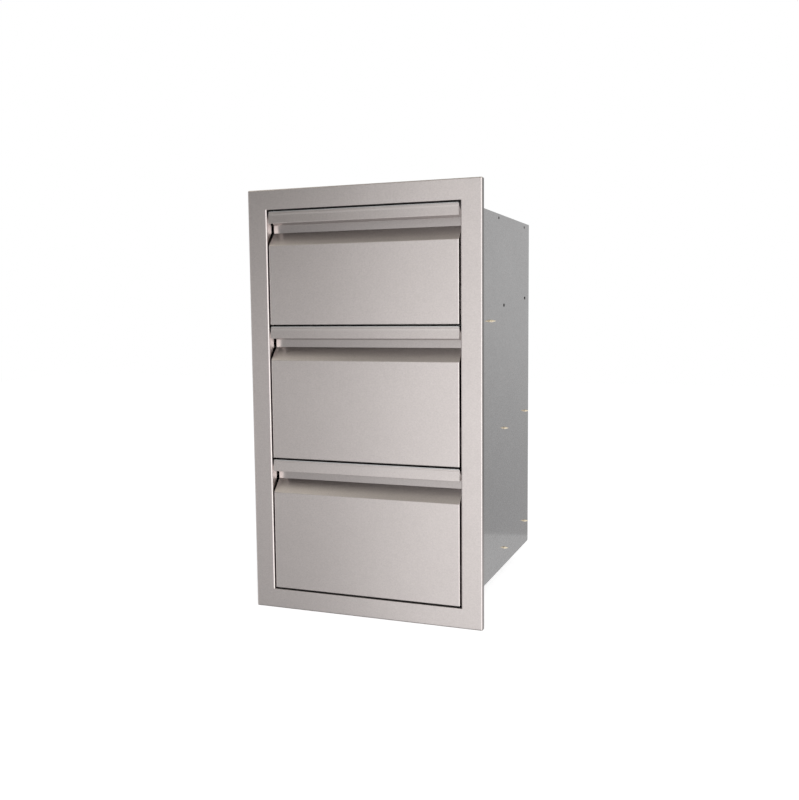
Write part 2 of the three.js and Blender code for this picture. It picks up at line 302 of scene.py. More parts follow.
def steel(name, colour, roughness, grain, grain_depth=0.15, rough_swing=0.06, cloud=0.03, mottling=0.08,
          brushed=0, turn=0, speckle=0, shade=None):
    """Rolled or brushed steel.

    grain is the number of grain lines per metre along X, Y and Z. cloud and mottling are swings of tone.
    brushed is the anisotropy, and turn its direction as a share of a full turn. speckle is the height of
    fine waves, and shade(tree, level) changes the tone from place to place.
    """
    material, tree, shader = shader_of(name)
    shader.inputs["Metallic"].default_value = 1
    shader.inputs["Anisotropic"].default_value = brushed
    shader.inputs["Anisotropic Rotation"].default_value = turn
    if brushed:
        lay = tree.nodes.new("ShaderNodeTangent")
        lay.direction_type = "UV_MAP"
        lay.uv_map = "grain"
        tree.links.new(lay.outputs[0], shader.inputs["Tangent"])
    place = own_place(tree)

    def noise(scale, detail, rough=0.5):
        mapping = tree.nodes.new("ShaderNodeMapping")
        mapping.inputs["Scale"].default_value = scale
        texture = tree.nodes.new("ShaderNodeTexNoise")
        texture.inputs["Scale"].default_value = 1
        texture.inputs["Detail"].default_value = detail
        texture.inputs["Roughness"].default_value = rough
        tree.links.new(place, mapping.inputs["Vector"])
        tree.links.new(mapping.outputs["Vector"], texture.inputs["Vector"])
        return texture.outputs["Fac"]

    def spread(value, middle, swing):
        return remap(tree, value, *NOISE_RANGE, middle - swing, middle + swing)

    lines = noise(grain, 3, 0.6)
    level = calculate(
        tree, "MULTIPLY", spread(lines, 1, cloud / 2), spread(noise(CLOUD_SCALE, 3), 1, cloud / 2)
    )
    level = calculate(tree, "MULTIPLY", level, spread(noise(MOTTLE_SCALE, 2, 0.7), 1, mottling))
    if shade:
        level = shade(tree, level)
    tone = tree.nodes.new("ShaderNodeMix")
    tone.data_type = "RGBA"
    tone.blend_type = "MULTIPLY"
    tone.inputs["Factor"].default_value = 1
    tone.inputs["A"].default_value = (*colour, 1)
    tree.links.new(level, tone.inputs["B"])
    tree.links.new(tone.outputs["Result"], shader.inputs["Base Color"])
    tree.links.new(spread(lines, roughness, rough_swing), shader.inputs["Roughness"])
    waves = bumps(tree, noise(SPECKLE_SCALE, 2, 0.7), 1, speckle) if speckle else None
    tree.links.new(bumps(tree, lines, grain_depth, GRAIN_RELIEF, waves), shader.inputs["Normal"])
    return material


def plastic(name, colour, roughness):
    material, tree, shader = shader_of(name)
    shader.inputs["Base Color"].default_value = (*colour, 1)
    shader.inputs["Roughness"].default_value = roughness
    grain = tree.nodes.new("ShaderNodeTexNoise")
    grain.inputs["Scale"].default_value = 2500
    tree.links.new(own_place(tree), grain.inputs["Vector"])
    tree.links.new(bumps(tree, grain.outputs["Fac"], 0.3, 0.05 * MM), shader.inputs["Normal"])
    return material


# How far a face looks sideways where a fold's painted highlight begins and where it is full
FOLD_TILTS = (0.1, 0.3)
# The same where a fold goes over into a flange
FLANGE_TILTS = (0.85, 0.98)
# How much the painted highlight brightens the folds
FOLD_HIGHLIGHT = 1.5
# The trim's outer returns: how far out they begin, and their painted shade at two heights, deeper higher up
RETURN_REACHES = (0.82 * TRIM_HALF, 0.99 * TRIM_HALF)
RETURN_HEIGHTS = (40 * MM, 260 * MM)
RETURN_SHADE_TONES = (0.67, 0.28)
# The pulls' shade: where it starts and is full, in depth, from the left and by the way a face looks
SHADE_DEPTHS = (FACE_Y + 5 * MM, FACE_Y + 0.9 * PULL_DEPTH)
SHADE_PLACES = (49 * MM - TRIM_HALF, 54 * MM - TRIM_HALF)
SHADE_TILTS = (0.17, -1)
SHADE_TONE = 0.76


def paint_fold_highlights(tree, level, flanges):
    """Paints a highlight on upright folds, so that they look brighter than the faces. flanges keeps flanges
    as bright.
    """
    sideways = calculate(tree, "ABSOLUTE", component(tree, "X", facing(tree)))
    level = calculate(tree, "MULTIPLY", remap(tree, sideways, *FOLD_TILTS, 1, FOLD_HIGHLIGHT), level)
    if flanges:
        return level
    return calculate(tree, "MULTIPLY", remap(tree, sideways, *FLANGE_TILTS, 1, 1 / FOLD_HIGHLIGHT), level)


def shade_trim(tree, level):
    """Paints highlights on the folds, and shade on the outer returns that grows deeper towards the top."""
    level = paint_fold_highlights(tree, level, flanges=True)
    spot = tree.nodes.new("ShaderNodeNewGeometry").outputs["Position"]
    outwards = calculate(tree, "MULTIPLY", component(tree, "X", facing(tree)), component(tree, "X", spot))
    tone = remap(tree, component(tree, "Z", spot), *RETURN_HEIGHTS, *RETURN_SHADE_TONES, smooth=True)
    return calculate(tree, "MULTIPLY", remap(tree, outwards, *RETURN_REACHES, 1, tone), level)


def shade_front(tree, level):
    """The finger pulls' walls and slopes lie in the lips' shade, deeper in the more so."""
    level = paint_fold_highlights(tree, level, flanges=False)
    depth = remap(tree, component(tree, "Y", own_place(tree)), *SHADE_DEPTHS)
    inside = remap(tree, component(tree, "X", own_place(tree)), *SHADE_PLACES)
    upright = remap(tree, component(tree, "Y", facing(tree)), *SHADE_TILTS)
    shaded = calculate(tree, "MULTIPLY", calculate(tree, "MULTIPLY", depth, inside), upright)
    return calculate(tree, "MULTIPLY", remap(tree, shaded, 0, 1, 1, SHADE_TONE), level)


BRUSHED_COLOUR = (0.61, 0.563, 0.549)
BRUSHED_ROUGHNESS = 0.3
BRUSHED_GRAIN = (90, 90, 5200)
EVEN_GRAIN = (900, 900, 900)


def brushed_steel(name, shade):
    """The trim's and fronts' finish, brushed from side to side."""
    return steel(name, BRUSHED_COLOUR, BRUSHED_ROUGHNESS, BRUSHED_GRAIN, rough_swing=0.03,
                 brushed=0.92, turn=0.25, speckle=0.02 * MM, shade=shade)


trim_steel = brushed_steel("trim_steel", shade_trim)
front_steel = brushed_steel("front_steel", shade_front)
case_steel = steel("case_steel", (0.60, 0.59, 0.592), 0.08, EVEN_GRAIN, grain_depth=0.1, rough_swing=0.02,
                   cloud=0.06, mottling=0.26)
inner_steel = steel("inner_steel", (0.58, 0.58, 0.575), 0.3, (3000, 120, 3000), grain_depth=0.1)
slide_zinc = steel("slide_zinc", (0.64, 0.65, 0.66), 0.3, (3000, 60, 3000), grain_depth=0.08)
cage_steel = steel("cage_steel", (0.5, 0.51, 0.52), 0.35, (1500, 60, 1500), grain_depth=0.08)
ball_steel = steel("ball_steel", (0.75, 0.75, 0.76), 0.12, (2000, 2000, 2000), grain_depth=0.02,
                   rough_swing=0.02)
yellow_zinc = steel("yellow_zinc", (1.0, 0.86, 0.66), 0.15, EVEN_GRAIN, grain_depth=0.1, cloud=0.08)
# Near black: painted shade for the short fixings' ends
stub_shade_steel = steel("stub_shade_steel", (0.05, 0.045, 0.045), 0.45, EVEN_GRAIN, grain_depth=0.1)
nylon = plastic("bumper_nylon", (0.03, 0.03, 0.032), 0.55)
# Near black: painted shade for the strips in the gaps above and below the drawers
gap_shade_black = plastic("gap_shade_black", (0.012, 0.01, 0.01), 0.9)


# Trim frame: one folded sheet that runs round the opening

def trim_piece():
    reach = TRIM_HALF - OPENING_HALF
    rail = OPENING_LOW - trim_low.z
    inner_depth = trim_high.y - FACE_Y
    outer_depth = 10 * MM
    outer_radius = 2.6 * MM
    # The hem wraps the side panels' front edges, and barely shows above and below.
    hem_depth = 17 * MM
    hem_reach = -1.75 * MM
    hem_inside = hem_reach + 0.7 * MM
    hem_floor = 2.9 * MM
    hem_radius = 2.6 * MM
    hem_rise = 0.14
    return_inside = 0.05 * MM
    edge_radius = 0.2 * MM
    opening_corner = 1.0 * MM
    trim_corner = 2.2 * MM
    # Distance outwards from the opening, and depth behind the face
    outline = outline_of([
        (hem_reach, hem_depth, 0.3 * MM),
        (hem_reach, 0, hem_radius),
        (reach, 0, outer_radius),
        (reach, outer_depth, edge_radius),
        (reach - TRIM_SHEET, outer_depth, edge_radius),
        (reach - TRIM_SHEET, TRIM_SHEET, 1.0 * MM),
        (TRIM_SHEET, TRIM_SHEET, 0.5 * MM),
        (TRIM_SHEET, inner_depth),
        (return_inside, inner_depth),
        (return_inside, hem_floor),
        (hem_inside, hem_floor),
        (hem_inside, hem_depth, 0.3 * MM),
    ])
    rings = []
    for point in outline:
        out = point.x
        share = min(max(out / reach, 0), 1)
        out_z = share * rail + min(out, 0) * hem_rise
        near_outside = max(trim_corner - (reach - out), 0.15 * MM)
        near_opening = opening_corner + max(out, -0.8 * MM)
        rings.append(rectangle_ring(
            -OPENING_HALF - out,
            OPENING_HALF + out,
            OPENING_LOW - out_z,
            OPENING_HIGH + out_z,
            near_opening if share < 0.5 else near_outside,
            lambda x, z, depth=point.y: Vector((x, FACE_Y + depth, z)),
        ))
    piece = new_piece("trim_frame", *closed_loft(rings))
    dress(piece, "cabinet", "trim_steel", trim_steel, "face_frame")


trim_piece()


# Black strips over the box's top and bottom edges, just behind the trim's bends: painted shade for the gaps
# above and below the drawers

def gap_shade_strips():
    height = 0.95 * MM
    depths = (1.9 * MM, 4.0 * MM)
    parts = [
        box_part((-WALL, FACE_Y + depths[0], z), (WALL, FACE_Y + depths[1], z + height))
        for z in (OPENING_LOW + 0.3 * MM, OPENING_HIGH - 1.25 * MM)
    ]
    piece = new_piece("gap_shade_strips", *merge(parts))
    dress(piece, "cabinet", "bumper_nylon", gap_shade_black)


gap_shade_strips()


# Drawer fronts: folded skins with their finger pulls

FACE_END_RADIUS = 1.8 * MM
LIP_END_RADIUS = 0.4 * MM
END_STEPS = 6


def end_rounding(x, half, radius):
    """How far a face has turned back at x, for a fold of that radius along its end."""
    past = abs(x) - (half - radius)
    if past <= 0:
        return 0
    return radius - math.sqrt(max(radius ** 2 - past ** 2, 0))


def front_piece(drawer):
    low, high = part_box(f"drawer_front_{drawer}")
    half = high.x
    height = high.z - low.z
    depth = high.y - low.y
    fold_drop = FRONT_SHEET / math.tan(LIP_FOLD_ANGLE / 2)
    slope_drop = fold_drop + (PULL_DEPTH - FRONT_SHEET) / math.tan(LIP_FOLD_ANGLE)
    lip_low = height - LIP_HEIGHT
    # Depth behind the face and height above the front's underside
    outline = outline_of([
        (depth, 0, 0.1 * MM),
        (depth, FRONT_SHEET, 0),
        (depth - LINER_SHEET, FRONT_SHEET, 0),
        (depth - LINER_SHEET, height - LINER_SHEET, 0),
        (LINER_SHEET, height - LINER_SHEET, 0),
        (LIP_LEAN, height, 0.3 * MM),
        (0, lip_low, 1.0 * MM),
        (2 * FRONT_SHEET, lip_low, 1.0 * MM),
        (2 * FRONT_SHEET, lip_low + LIP_HEM, 0.3 * MM),
        (FRONT_SHEET, lip_low + LIP_HEM, 0),
        (FRONT_SHEET, height - fold_drop, 0.5 * MM),
        (PULL_DEPTH, height - slope_drop, 1.2 * MM),
        (PULL_DEPTH, height - RECESS_DROP, 1.2 * MM),
        (0, height - MOUTH_DROP, 2.4 * MM),
        (0, 0, 1.6 * MM),
    ])
    turns = [math.sin(k * math.pi / 2 / END_STEPS) for k in range(END_STEPS + 1)]
    stations = sorted(
        {round(half - FACE_END_RADIUS * (1 - t), 7) for t in turns}
        | {round(half - LIP_END_RADIUS * (1 - t), 7) for t in turns}
    )
    stations = [-x for x in reversed(stations)] + stations
    mouth_middle = height - (RECESS_DROP + LIP_HEIGHT) / 2
    rings = []
    for x in stations:
        ring = []
        for point in outline:
            radius = FACE_END_RADIUS if point.y < mouth_middle else LIP_END_RADIUS
            y = max(point.x, end_rounding(x, half, radius))
            ring.append(Vector((x, low.y + y, low.z + point.y)))
        rings.append(ring)
    ends = [end_strip(sign, low, high) for sign in SIDES.values()]
    piece = new_piece(f"front_{drawer}", *merge([loft(rings), *ends]))
    dress(piece, f"drawer_{drawer}", "front_steel", front_steel, f"drawer_front_{drawer}")


def end_strip(sign, low, high):
    """The rear strip of a front's end flange, beside the liner."""
    near, far = sorted((sign * high.x, sign * (high.x - FRONT_SHEET)))
    return box_part((near, high.y - LINER_SHEET, low.z + FRONT_SHEET), (far, high.y, high.z))


for drawer in DRAWERS:
    front_piece(drawer)


# Trays: open boxes of folded sheet, with rims turned in and down

def tray_piece(drawer):
    low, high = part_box(f"drawer_tray_{drawer}")
    height = high.z - low.z
    rim = 8 * MM
    rim_fold = 3 * MM
    rim_radius = 1.3 * MM
    floor_radius = 2.0 * MM
    floor_edge = 20 * MM
    # Inset from the tray's outside and height above its underside, from the rim round to the floor
    samples = rounded_path([
        (rim, height - rim_fold),
        (rim, height, rim_radius),
        (0, height, rim_radius),
        (0, 0, floor_radius),
        (floor_edge, 0),
    ])
    outside = [point for point, _ in samples]
    inside = [point + normal * TRAY_SHEET for point, normal in samples]

    def ring(point):
        inset = point.x
        return rectangle_ring(
            low.x + inset,
            high.x - inset,
            low.y + inset,
            high.y - inset,
            max(2.5 * MM - inset, 0.4 * MM),
            lambda x, y: Vector((x, y, low.z + point.y)),
        )

    rings = [ring(point) for point in reversed(outside)] + [ring(point) for point in inside]
    piece = new_piece(f"tray_{drawer}", *loft(rings))
    dress(piece, f"drawer_{drawer}", "inner_steel", inner_steel, f"drawer_tray_{drawer}")


for drawer in DRAWERS:
    tray_piece(drawer)


# Slides: three nested channels a side, with rounded races

RACE_RADIUS = 2.0 * MM
RACE_LIP = 2.2 * MM


def along_y(outline, low_y, high_y):
    return loft([[Vector((x, y, z)) for x, z in outline] for y in (low_y, high_y)])


def depths_off_wall(sign, low, high):
    """How far a node's near and far faces stand off the inside of its side's wall."""
    return sorted(WALL - sign * x for x in (low.x, high.x))


def channel_outline(sign, web, flange, half, lip, middle_z):
    """A channel's section on one side's wall, from its web's and flanges' depths off that wall."""
    inward = 1 if flange > web else -1
    path = [
        (flange, inward * half, RACE_RADIUS),
        (web, inward * half, RACE_RADIUS),
        (web, -inward * half, RACE_RADIUS),
        (flange, -inward * half, RACE_RADIUS),
    ]
    if lip:
        path.insert(0, (flange, inward * (half - lip)))
        path.append((flange, -inward * (half - lip)))
    return [Vector((sign * (WALL - p.x), middle_z + p.y)) for p in sheet_outline(path, SLIDE_SHEET)]


def channel_piece(member, side, drawer):
    sign = SIDES[side]
    node = f"slide_{member}_{side}_{drawer}"
    low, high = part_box(node)
    web, flange = depths_off_wall(sign, low, high)
    lip = RACE_LIP
    if member == "inner":
        web, flange = flange, web
        lip = 0
    half = (high.z - low.z) / 2
    outline = channel_outline(sign, web, flange, half, lip, (low.z + high.z) / 2)
    piece = new_piece(f"rail_{member}_{side}_{drawer}", *along_y(outline, low.y, high.y))
    body = {"outer": "cabinet", "intermediate": f"intermediates_{drawer}", "inner": f"drawer_{drawer}"}
    dress(piece, body[member], "slide_zinc", slide_zinc, node)


for drawer in DRAWERS:
    for side in SIDES:
        for member in ("outer", "intermediate", "inner"):
            channel_piece(member, side, drawer)


# Ball cages: thin channels with a row of balls in each flange

BALL_RADIUS = 1.8 * MM
BALL_COUNT = 16
BALL_INSET = 8 * MM


def ball(centre, radius, rings=8, segments=12):
    circles = []
    for i in range(1, rings):
        tilt = math.pi * i / rings
        circles.append([
            centre + radius * Vector((
                math.cos(tilt),
                math.sin(tilt) * math.cos(2 * math.pi * j / segments),
                math.sin(tilt) * math.sin(2 * math.pi * j / segments),
            ))
            for j in range(segments)
        ])
    return loft(circles)


def cage_piece(cage, side, drawer):
    sign = SIDES[side]
    node = f"cage_{cage}_{side}_{drawer}"
    low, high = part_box(node)
    web, tip = depths_off_wall(sign, low, high)
    middle = (low.z + high.z) / 2
    row = (high.z - low.z) / 2 - BALL_RADIUS
    flange = row + CAGE_SHEET / 2
    path = [(tip, flange), (web, flange, 1.2 * MM), (web, -flange, 1.2 * MM), (tip, -flange)]
    outline = [Vector((sign * (WALL - p.x), middle + p.y)) for p in sheet_outline(path, CAGE_SHEET)]
    retainer = new_piece(f"retainer_{cage}_{side}_{drawer}", *along_y(outline, low.y, high.y))
    body = f"{cage}_cages_{drawer}"
    dress(retainer, body, "cage_steel", cage_steel, node)
    step = (high.y - low.y - 2 * BALL_INSET) / (BALL_COUNT - 1)
    x = sign * (WALL - tip + BALL_RADIUS)
    parts = [
        ball(Vector((x, low.y + BALL_INSET + i * step, middle + end * row)), BALL_RADIUS)
        for i in range(BALL_COUNT)
        for end in (-1, 1)
    ]
    balls = new_piece(f"balls_{cage}_{side}_{drawer}", *merge(parts), sharp=60)
    dress(balls, body, "cage_steel", ball_steel)


for drawer in DRAWERS:
    for side in SIDES:
        for cage in ("outer", "inner"):
            cage_piece(cage, side, drawer)


# Screws and rivets: real threads, whose ridge winds round a tapering shank, and domed heads

THREAD_PITCH = 1.4 * MM
THREAD_RIDGE = 0.35 * MM
THREAD_STEEPNESS = 3.2
STEPS_PER_TURN = 8
TURN_POINTS = 16
POINT_SHARE = 0.06
HEAD_RINGS = 12
HEAD_POINTS = 48
LATHE_POINTS = 24


def circle(radius, points):
    angles = [2 * math.pi * j / points for j in range(points)]
    return [(radius * math.cos(angle), radius * math.sin(angle)) for angle in angles]


def lathe(profile, place):
    """A solid of (radius, along) pairs, round an axis that place maps into the object."""
    return loft([[place(a, b, along) for a, b in circle(radius, LATHE_POINTS)] for radius, along in profile])


def dome(radius, height, sunk):
    """A rivet's profile: a low dome whose edge goes a little into the sheet."""
    turns = [k * math.pi / 12 for k in range(6)]
    return [(radius, -sunk)] + [(radius * math.cos(turn), height * math.sin(turn)) for turn in turns]


def thread(place, end, radius, tip):
    """A pointed thread from zero to end along the screw's axis."""
    steps = max(STEPS_PER_TURN, round(end / THREAD_PITCH * STEPS_PER_TURN))
    rings = []
    for i in range(steps + 1):
        along_axis = end * i / steps
        taper = min(1, max(POINT_SHARE, (end - along_axis) / tip))
        ring = []
        for j in range(TURN_POINTS):
            angle = 2 * math.pi * j / TURN_POINTS
            phase = (along_axis / THREAD_PITCH - j / TURN_POINTS) % 1
            ridge = max(0, 1 - abs(phase - 0.5) * THREAD_STEEPNESS)
            reach = (radius - THREAD_RIDGE + THREAD_RIDGE * ridge) * taper
            ring.append(place(reach * math.cos(angle), reach * math.sin(angle), along_axis))
        rings.append(ring)
    return loft(rings)


def pan_head(place, radius, height, recess):
    """A low domed head with a cross recess, below the screw's zero."""
    arm_width = 0.16 * radius
    arm_reach = 0.58 * radius
    rings = []
    for k in range(1, HEAD_RINGS + 1):
        share = k / HEAD_RINGS
        top = height * math.sqrt(max(0, 1 - share ** 4 * 0.95))
        ring = []
        for a, b in circle(share * radius, HEAD_POINTS):
            in_recess = min(abs(a), abs(b)) < arm_width and max(abs(a), abs(b)) < arm_reach
            ring.append(place(a, b, -top + (recess if in_recess else 0)))
        rings.append(ring)
    rings.append([place(a, b, 0) for a, b in circle(radius, HEAD_POINTS)])
    return loft(rings)


def outward(sign, origin):
    """Maps a screw's own (a, b, along) to a screw that points out through a side wall."""
    return lambda a, b, along: origin + Vector((sign * along, a, b))


WALL_SCREW_RADIUS = 2.5 * MM
WALL_HEAD_RADIUS = 3.8 * MM


def wall_screw(name, place, head_height, recess, length, tip, *nodes):
    parts = [
        pan_head(place, WALL_HEAD_RADIUS, head_height, recess),
        thread(place, length, WALL_SCREW_RADIUS, tip),
    ]
    piece = new_piece(name, *merge(parts), sharp=50)
    dress(piece, "cabinet", "yellow_screw", yellow_zinc, *nodes)


for drawer in ("middle", "bottom"):
    for side, sign in SIDES.items():
        for spot in ("middle", "rear"):
            node = f"slide_screw_{side}_{drawer}_{spot}"
            low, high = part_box(node)
            start = Vector((sign * (WALL - SLIDE_SHEET), (low.y + high.y) / 2, (low.z + high.z) / 2))
            name = f"screw_{side}_{drawer}_{spot}"
            wall_screw(name, outward(sign, start), 0.7 * MM, 0.4 * MM, high.x - low.x, 7 * MM, node)

# The stay's screws stand out of both walls in front of the slides'.
stay_low, stay_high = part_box("cross_stay")
STAY_SHEET = 1.2 * MM
for side, sign in SIDES.items():
    start = Vector((sign * (WALL - STAY_SHEET), (stay_low.y + stay_high.y) / 2, stay_high.z - 7.2 * MM))
    wall_screw(f"stay_screw_{side}", outward(sign, start), 1.6 * MM, 0.8 * MM, 13.5 * MM, 8 * MM)


# Short fixings whose ends just show: the top slides' screws and the top panel's rivets, near black with
# painted shade

top_low, top_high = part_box("slide_outer_right_top")
top_middle = (top_low.z + top_high.z) / 2
SLIDE_HOLE_OFFSET = 7.75 * MM
# Radius and reach
SCREW_END = (3.3 * MM, 1.2 * MM)
RIVET_END = (2.7 * MM, 0.8 * MM)
STUB_SUNK = 0.5 * MM
# Name, y, z and end
STUBS = (
    ("top_screw_{}_middle", 33 * MM, top_middle - SLIDE_HOLE_OFFSET, SCREW_END),
    ("top_screw_{}_rear", 212 * MM, top_middle + SLIDE_HOLE_OFFSET, SCREW_END),
    ("top_rivet_{}_middle", -7 * MM, OPENING_HIGH - 7.6 * MM, RIVET_END),
    ("top_rivet_{}_rear", 205 * MM, OPENING_HIGH - 8.6 * MM, RIVET_END),
)
for side, sign in SIDES.items():
    for name, y, z, end in STUBS:
        place = outward(sign, Vector((sign * OPENING_HALF, y, z)))
        piece = new_piece(name.format(side), *lathe(dome(*end, STUB_SUNK), place), sharp=50)
        dress(piece, "cabinet", "slide_zinc", stub_shade_steel)


# Back panel: its sheet lies a rivet head's height inside the box's rear edges

def back_piece():
    low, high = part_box("back_panel")
    head = 0.7 * MM
    inset = 9 * MM
    first_row = 26 * MM
    rows = 7
    columns = (-84 * MM, 0, 84 * MM)
    face = high.y - head
    row_step = (high.z - low.z - 2 * first_row) / (rows - 1)
    spots = [
        (sign * (high.x - inset), low.z + first_row + k * row_step)
        for sign in SIDES.values()
        for k in range(rows)
    ]
    spots += [(x, z) for x in columns for z in (low.z + inset, high.z - inset)]
    # A pop rivet's radius and height, in millimetres: a rounded head with a small hole
    profile = (
        (3.2, -0.1), (3.1, 0.2), (2.8, 0.45), (2.3, 0.62), (1.6, 0.7), (1.1, 0.7), (0.95, 0.3), (0.05, 0.3)
    )
    profile = [(radius * MM, along_axis * MM) for radius, along_axis in profile]
    parts = [box_part(low, (high.x, face, high.z))]
    for x, z in spots:
        parts.append(lathe(profile, lambda a, b, out: Vector((x + a, face + out, z + b))))
    piece = new_piece("back_sheet", *merge(parts), sharp=50)
    dress(piece, "cabinet", "inner_steel", inner_steel, "back_panel")


back_piece()


# Tray fixings: low rivets that hold the inner slide members, and screws into the front

def tray_fixings(drawer):
    low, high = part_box(f"drawer_tray_{drawer}")
    slide_low, slide_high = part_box(f"slide_inner_right_{drawer}")
    rivet_shares = (0.08, 0.42, 0.86)
    rivet = dome(3.2 * MM, 1.3 * MM, 0.2 * MM)
    parts = []
    for sign in SIDES.values():
        for share in rivet_shares:
            spot = Vector((
                sign * (high.x - TRAY_SHEET),
                low.y + share * (high.y - low.y),
                (slide_low.z + slide_high.z) / 2,
            ))
            parts.append(lathe(rivet, outward(-sign, spot)))
    piece = new_piece(f"tray_rivets_{drawer}", *merge(parts), sharp=50)
    dress(piece, f"drawer_{drawer}", "slide_zinc", slide_zinc)

    screw_x = 120 * MM
    screw_inset = 25 * MM
    heads = []
    for x in (-screw_x, screw_x):
        for z in (low.z + screw_inset, high.z - screw_inset):
            spot = Vector((x, low.y + TRAY_SHEET, z))
            heads.append(pan_head(
                lambda a, b, out: spot + Vector((a, -out, b)),
                3.6 * MM, 1.9 * MM, 0.9 * MM,
            ))
    piece = new_piece(f"front_screws_{drawer}", *merge(heads), sharp=50)
    dress(piece, f"drawer_{drawer}", "slide_zinc", slide_zinc)


for drawer in DRAWERS:
    tray_fixings(drawer)


# Release levers in the inner members' channels

def release_lever(side, drawer):
    sign = SIDES[side]
    low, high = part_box(f"slide_inner_{side}_{drawer}")
    middle = (low.z + high.z) / 2
    rear = high.y - 150 * MM
    root, shoulder, tip = rear + 24 * MM, rear + 34 * MM, rear + 62 * MM
    broad = 5 * MM
    narrow = 1.6 * MM
    outline = outline_of([
        (rear, -broad, 1.5 * MM),
        (root, -broad, 3 * MM),
        (shoulder, -narrow, 4 * MM),
        (tip, -narrow, 1.4 * MM),
        (tip, narrow, 1.4 * MM),
        (shoulder, narrow, 4 * MM),
        (root, broad, 3 * MM),
        (rear, broad, 1.5 * MM),
    ])
    inner_web = 11.5 * MM
    thickness = 1.8 * MM
    rings = [
        [Vector((sign * (WALL - depth), p.x, middle + p.y)) for p in outline]
        for depth in (inner_web - thickness, inner_web)
    ]
    piece = new_piece(f"release_lever_{side}_{drawer}", *loft(rings))
    dress(piece, f"drawer_{drawer}", "bumper_nylon", nylon)


for drawer in DRAWERS:
    for side in SIDES:
        release_lever(side, drawer)


# Carried-over solids: softened edges and their own finish

SHEET_EDGE = 0.2 * MM
BUMPER_EDGE = 0.5 * MM


def carry_over(node, material, edge):
    piece = frame["nodes"][node]
    piece.data.materials.clear()
    piece.data.materials.append(material)
    modifier = piece.modifiers.new("edge", "BEVEL")
    modifier.width = edge
    modifier.segments = 2
    modifier.limit_method = "ANGLE"
    modifier.angle_limit = math.radians(40)
    modifier.harden_normals = True


for node in ("side_panel_left", "side_panel_right", "top_panel", "bottom_panel"):
    carry_over(node, case_steel, SHEET_EDGE)
carry_over("cross_stay", inner_steel, SHEET_EDGE)
for drawer in DRAWERS:
    carry_over(f"drawer_liner_{drawer}", inner_steel, SHEET_EDGE)
    for side in SIDES:
        carry_over(f"slide_bumper_{side}_{drawer}", nylon, BUMPER_EDGE)


# Camera, at the photograph's angle and distance

CAMERA_PLACE = Vector((0.6205, FACE_Y - 1.4674, trim_low.z + 0.5416))
CAMERA_YAW = math.radians(20.582)
CAMERA_PITCH = math.radians(-5.518)
CAMERA_ROLL = math.radians(-0.525)
FOCAL_PIXELS = 921.1
FRAME_LONG_SIDE = 800
SENSOR = 36


def camera():
    data = bpy.data.cameras.new("camera")
    data.sensor_width = SENSOR
    data.lens = SENSOR * FOCAL_PIXELS / FRAME_LONG_SIDE
    data.clip_start = 0.05
    view = bpy.data.objects.new("camera", data)
    turn = (
        Matrix.Rotation(CAMERA_YAW, 4, "Z")
        @ Matrix.Rotation(math.pi / 2 + CAMERA_PITCH, 4, "X")
        @ Matrix.Rotation(CAMERA_ROLL, 4, "Z")
    )
    view.matrix_world = Matrix.Translation(CAMERA_PLACE) @ turn
    bpy.context.scene.collection.objects.link(view)
    bpy.context.scene.camera = view


camera()


# Studio: white surround, a pale floor, one large soft light, and walls that only reflections see

def seen_directly(tree):
    """1 for camera, glossy and transmission rays, and 0 for the rest."""
    rays = tree.nodes.new("ShaderNodeLightPath")
    shown = calculate(tree, "MAXIMUM", rays.outputs["Is Camera Ray"], rays.outputs["Is Glossy Ray"])
    return calculate(tree, "MAXIMUM", shown, rays.outputs["Is Transmission Ray"])


def world():
    """A surround that is white where it is seen, and sheds less light than that."""
    shed = 0.55
    seen = 1
    surround = bpy.data.worlds.new("studio")
    surround.use_nodes = True
    tree = surround.node_tree
    tree.nodes.clear()
    mix = tree.nodes.new("ShaderNodeMixShader")
    tree.links.new(seen_directly(tree), mix.inputs["Fac"])
    for entry, strength in ((1, shed), (2, seen)):
        white = tree.nodes.new("ShaderNodeBackground")
        white.inputs["Color"].default_value = (1, 1, 1, 1)
        white.inputs["Strength"].default_value = strength
        tree.links.new(white.outputs[0], mix.inputs[entry])
    output = tree.nodes.new("ShaderNodeOutputWorld")
    tree.links.new(mix.outputs[0], output.inputs["Surface"])
    bpy.context.scene.world = surround


world()


def bare_material(name):
    material = bpy.data.materials.new(name)
    material.use_nodes = True
    material.node_tree.nodes.clear()
    return material, material.node_tree


def emitting(name):
    material, tree = bare_material(name)
    output = tree.nodes.new("ShaderNodeOutputMaterial")
    glow = tree.nodes.new("ShaderNodeEmission")
    tree.links.new(glow.outputs[0], output.inputs["Surface"])
    return material, tree, glow


def stage_plane(name, low, high, material, place):
    """A rectangle from low to high in its own X and Y, which isn't part of the unit."""
    corners = [(low[0], low[1], 0), (high[0], low[1], 0), (high[0], high[1], 0), (low[0], high[1], 0)]
    piece = new_piece(name, corners, [(0, 1, 2, 3)])
    piece.data.materials.append(material)
    piece.matrix_world = place
    return piece


def only_reflections(piece):
    piece.visible_camera = False
    piece.visible_diffuse = False
    piece.visible_shadow = False
    piece.visible_transmission = False


def card(name, azimuth, distance, half_width, low, high, across, upwards=()):
    """A studio wall that only reflections see. azimuth is in degrees from -Y towards +X.

    across is (start, end, level, level) along its width, and upwards holds the same for what is added
    with height.
    """
    material, tree, glow = emitting(name)
    level = remap(tree, component(tree, "X", own_place(tree)), *across, smooth=True)
    for change in upwards:
        added = remap(tree, component(tree, "Y", own_place(tree)), *change, smooth=True)
        level = calculate(tree, "ADD", level, added)
    tree.links.new(level, glow.inputs["Strength"])
    angle = math.radians(azimuth)
    up = Vector((0, 0, 1))
    towards = Vector((math.sin(angle), -math.cos(angle), 0))
    to_right = Vector((math.cos(angle), math.sin(angle), 0))
    turn = Matrix((to_right, up, to_right.cross(up))).transposed()
    centre = Vector((0, FACE_Y, 0)) + towards * distance
    place = Matrix.Translation(centre) @ turn.to_4x4()
    only_reflections(stage_plane(name, (-half_width, low), (half_width, high), material, place))


